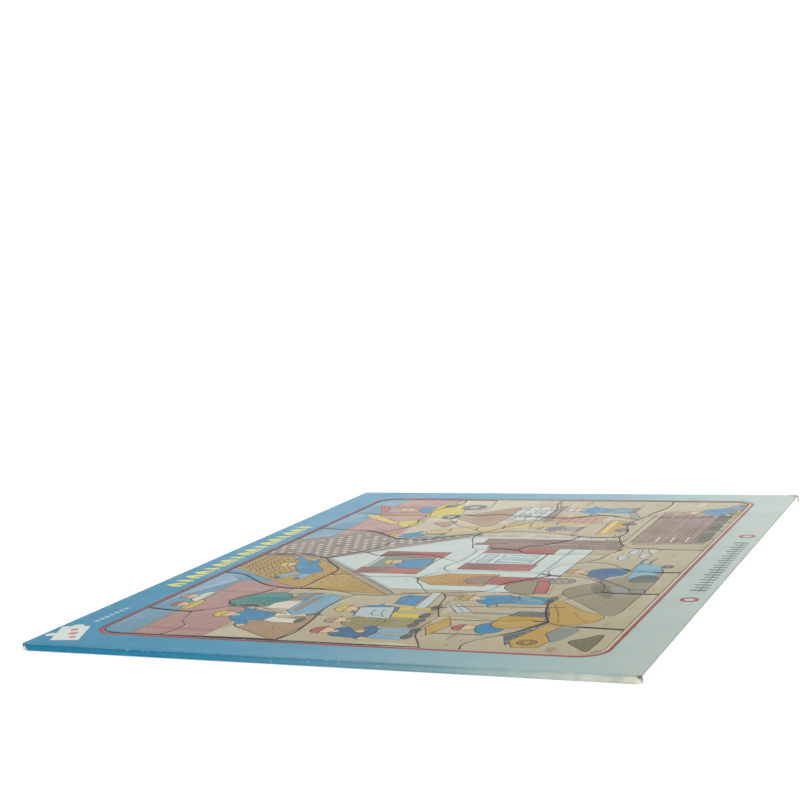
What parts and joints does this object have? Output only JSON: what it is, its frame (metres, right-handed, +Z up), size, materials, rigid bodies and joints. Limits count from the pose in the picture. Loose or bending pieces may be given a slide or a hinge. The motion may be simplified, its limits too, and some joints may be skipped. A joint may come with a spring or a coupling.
{
  "type": "frame tray jigsaw puzzle",
  "caption": "Flat cardboard tray with a printed frame and a window filled flush with loose, wavy-cut jigsaw pieces that lift straight out.",
  "frame": {"origin": "centre of the underside of the tray", "axes": "+X along the picture's length, towards its right side; +Y up the picture; +Z up out of the printed face"},
  "size_m": [0.32, 0.24, 0.0028],
  "materials": {
    "backing_paper": "matt uncoated paper",
    "greyboard": "raw grey board",
    "printed_cover": "printed paper, satin varnish, rubbed edges",
    "printed_pieces": "printed paper on die-cut grey board"
  },
  "bodies": {
    "tray": {"backing_sheet": "backing_paper", "base_board": "greyboard", "frame_board": "greyboard", "cover_sheet": "printed_cover"},
    "piece_a1": {"piece_a1": "printed_pieces"},
    "piece_a2": {"piece_a2": "printed_pieces"},
    "piece_a3": {"piece_a3": "printed_pieces"},
    "piece_a4": {"piece_a4": "printed_pieces"},
    "piece_a5": {"piece_a5": "printed_pieces"},
    "piece_a6": {"piece_a6": "printed_pieces"},
    "piece_b1": {"piece_b1": "printed_pieces"},
    "piece_b2": {"piece_b2": "printed_pieces"},
    "piece_b3": {"piece_b3": "printed_pieces"},
    "piece_b4": {"piece_b4": "printed_pieces"},
    "piece_b5": {"piece_b5": "printed_pieces"},
    "piece_b6": {"piece_b6": "printed_pieces"},
    "piece_b7": {"piece_b7": "printed_pieces"},
    "piece_c1": {"piece_c1": "printed_pieces"},
    "piece_c2": {"piece_c2": "printed_pieces"},
    "piece_c3": {"piece_c3": "printed_pieces"},
    "piece_c4": {"piece_c4": "printed_pieces"},
    "piece_c5": {"piece_c5": "printed_pieces"},
    "piece_c6": {"piece_c6": "printed_pieces"},
    "piece_c7": {"piece_c7": "printed_pieces"},
    "piece_d1": {"piece_d1": "printed_pieces"},
    "piece_d2": {"piece_d2": "printed_pieces"},
    "piece_d3": {"piece_d3": "printed_pieces"},
    "piece_d4": {"piece_d4": "printed_pieces"},
    "piece_d5": {"piece_d5": "printed_pieces"},
    "piece_d6": {"piece_d6": "printed_pieces"},
    "piece_e1": {"piece_e1": "printed_pieces"},
    "piece_e2": {"piece_e2": "printed_pieces"},
    "piece_e3": {"piece_e3": "printed_pieces"},
    "piece_e4": {"piece_e4": "printed_pieces"},
    "piece_e5": {"piece_e5": "printed_pieces"},
    "piece_e6": {"piece_e6": "printed_pieces"}
  },
  "joints": [
    {"name": "lift_a1", "type": "slide", "parent": "tray", "child": "piece_a1", "axis": [0, 0, 1], "range_m": [0, 0.03]},
    {"name": "lift_a2", "type": "slide", "parent": "tray", "child": "piece_a2", "axis": [0, 0, 1], "range_m": [0, 0.03]},
    {"name": "lift_a3", "type": "slide", "parent": "tray", "child": "piece_a3", "axis": [0, 0, 1], "range_m": [0, 0.03]},
    {"name": "lift_a4", "type": "slide", "parent": "tray", "child": "piece_a4", "axis": [0, 0, 1], "range_m": [0, 0.03]},
    {"name": "lift_a5", "type": "slide", "parent": "tray", "child": "piece_a5", "axis": [0, 0, 1], "range_m": [0, 0.03]},
    {"name": "lift_a6", "type": "slide", "parent": "tray", "child": "piece_a6", "axis": [0, 0, 1], "range_m": [0, 0.03]},
    {"name": "lift_b1", "type": "slide", "parent": "tray", "child": "piece_b1", "axis": [0, 0, 1], "range_m": [0, 0.03]},
    {"name": "lift_b2", "type": "slide", "parent": "tray", "child": "piece_b2", "axis": [0, 0, 1], "range_m": [0, 0.03]},
    {"name": "lift_b3", "type": "slide", "parent": "tray", "child": "piece_b3", "axis": [0, 0, 1], "range_m": [0, 0.03]},
    {"name": "lift_b4", "type": "slide", "parent": "tray", "child": "piece_b4", "axis": [0, 0, 1], "range_m": [0, 0.03]},
    {"name": "lift_b5", "type": "slide", "parent": "tray", "child": "piece_b5", "axis": [0, 0, 1], "range_m": [0, 0.03]},
    {"name": "lift_b6", "type": "slide", "parent": "tray", "child": "piece_b6", "axis": [0, 0, 1], "range_m": [0, 0.03]},
    {"name": "lift_b7", "type": "slide", "parent": "tray", "child": "piece_b7", "axis": [0, 0, 1], "range_m": [0, 0.03]},
    {"name": "lift_c1", "type": "slide", "parent": "tray", "child": "piece_c1", "axis": [0, 0, 1], "range_m": [0, 0.03]},
    {"name": "lift_c2", "type": "slide", "parent": "tray", "child": "piece_c2", "axis": [0, 0, 1], "range_m": [0, 0.03]},
    {"name": "lift_c3", "type": "slide", "parent": "tray", "child": "piece_c3", "axis": [0, 0, 1], "range_m": [0, 0.03]},
    {"name": "lift_c4", "type": "slide", "parent": "tray", "child": "piece_c4", "axis": [0, 0, 1], "range_m": [0, 0.03]},
    {"name": "lift_c5", "type": "slide", "parent": "tray", "child": "piece_c5", "axis": [0, 0, 1], "range_m": [0, 0.03]},
    {"name": "lift_c6", "type": "slide", "parent": "tray", "child": "piece_c6", "axis": [0, 0, 1], "range_m": [0, 0.03]},
    {"name": "lift_c7", "type": "slide", "parent": "tray", "child": "piece_c7", "axis": [0, 0, 1], "range_m": [0, 0.03]},
    {"name": "lift_d1", "type": "slide", "parent": "tray", "child": "piece_d1", "axis": [0, 0, 1], "range_m": [0, 0.03]},
    {"name": "lift_d2", "type": "slide", "parent": "tray", "child": "piece_d2", "axis": [0, 0, 1], "range_m": [0, 0.03]},
    {"name": "lift_d3", "type": "slide", "parent": "tray", "child": "piece_d3", "axis": [0, 0, 1], "range_m": [0, 0.03]},
    {"name": "lift_d4", "type": "slide", "parent": "tray", "child": "piece_d4", "axis": [0, 0, 1], "range_m": [0, 0.03]},
    {"name": "lift_d5", "type": "slide", "parent": "tray", "child": "piece_d5", "axis": [0, 0, 1], "range_m": [0, 0.03]},
    {"name": "lift_d6", "type": "slide", "parent": "tray", "child": "piece_d6", "axis": [0, 0, 1], "range_m": [0, 0.03]},
    {"name": "lift_e1", "type": "slide", "parent": "tray", "child": "piece_e1", "axis": [0, 0, 1], "range_m": [0, 0.03]},
    {"name": "lift_e2", "type": "slide", "parent": "tray", "child": "piece_e2", "axis": [0, 0, 1], "range_m": [0, 0.03]},
    {"name": "lift_e3", "type": "slide", "parent": "tray", "child": "piece_e3", "axis": [0, 0, 1], "range_m": [0, 0.03]},
    {"name": "lift_e4", "type": "slide", "parent": "tray", "child": "piece_e4", "axis": [0, 0, 1], "range_m": [0, 0.03]},
    {"name": "lift_e5", "type": "slide", "parent": "tray", "child": "piece_e5", "axis": [0, 0, 1], "range_m": [0, 0.03]},
    {"name": "lift_e6", "type": "slide", "parent": "tray", "child": "piece_e6", "axis": [0, 0, 1], "range_m": [0, 0.03]}
  ]
}
